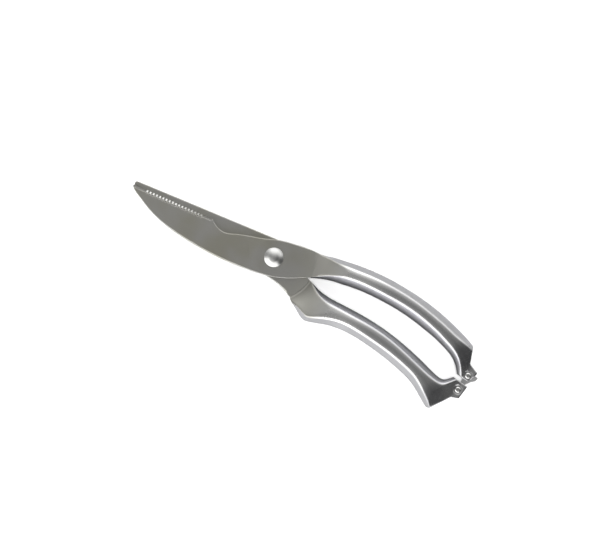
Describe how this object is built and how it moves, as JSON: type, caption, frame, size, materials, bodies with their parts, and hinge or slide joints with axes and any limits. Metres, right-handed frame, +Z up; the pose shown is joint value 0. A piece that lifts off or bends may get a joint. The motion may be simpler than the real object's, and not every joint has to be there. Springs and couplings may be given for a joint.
{
  "type": "kitchen_shears",
  "caption": "All-steel poultry shears with curved hollow handles, a domed pivot bolt, a notched and toothed front blade, a hidden opening spring and a latch hook between the handle ends.",
  "frame": {"origin": "centre of the bounding box's footprint, on the surface the closed shears lie on", "axes": "+X from the blade tips towards the handle ends, +Y towards the upper handle, +Z up through the front face, out of the table the shears lie on"},
  "size_m": [0.2498, 0.061, 0.0129],
  "materials": {
    "ground_steel": "satin",
    "handle_steel": "polished",
    "polished_steel": "polished",
    "plated_steel": "satin",
    "spring_steel": "polished",
    "rivet_steel": "polished",
    "latch_steel": "satin"
  },
  "bodies": {
    "rear_limb": {"rear_blade": "ground_steel", "lower_handle_front_shell": "handle_steel", "lower_handle_back_shell": "handle_steel", "latch_rivet": "rivet_steel", "pivot_bolt": "polished_steel", "pivot_washer": "plated_steel", "pivot_nut": "plated_steel", "stop_pin": "plated_steel", "opening_spring": "spring_steel"},
    "front_limb": {"front_blade": "ground_steel", "upper_handle_front_shell": "handle_steel", "upper_handle_back_shell": "handle_steel", "keeper_rivet": "rivet_steel"},
    "latch": {"latch_hook": "latch_steel"}
  },
  "joints": [
    {"name": "blade_pivot", "type": "hinge", "parent": "rear_limb", "child": "front_limb", "pos_m": [-0.0247, 0.00885, 0.0065], "axis": [0, 0, 1], "range_deg": [0, 30], "deforming": ["opening_spring"]},
    {"name": "latch_pivot", "type": "hinge", "parent": "rear_limb", "child": "latch", "pos_m": [0.1169, -0.01165, 0.0065], "axis": [0, 0, 1], "range_deg": [-80, 12]}
  ]
}
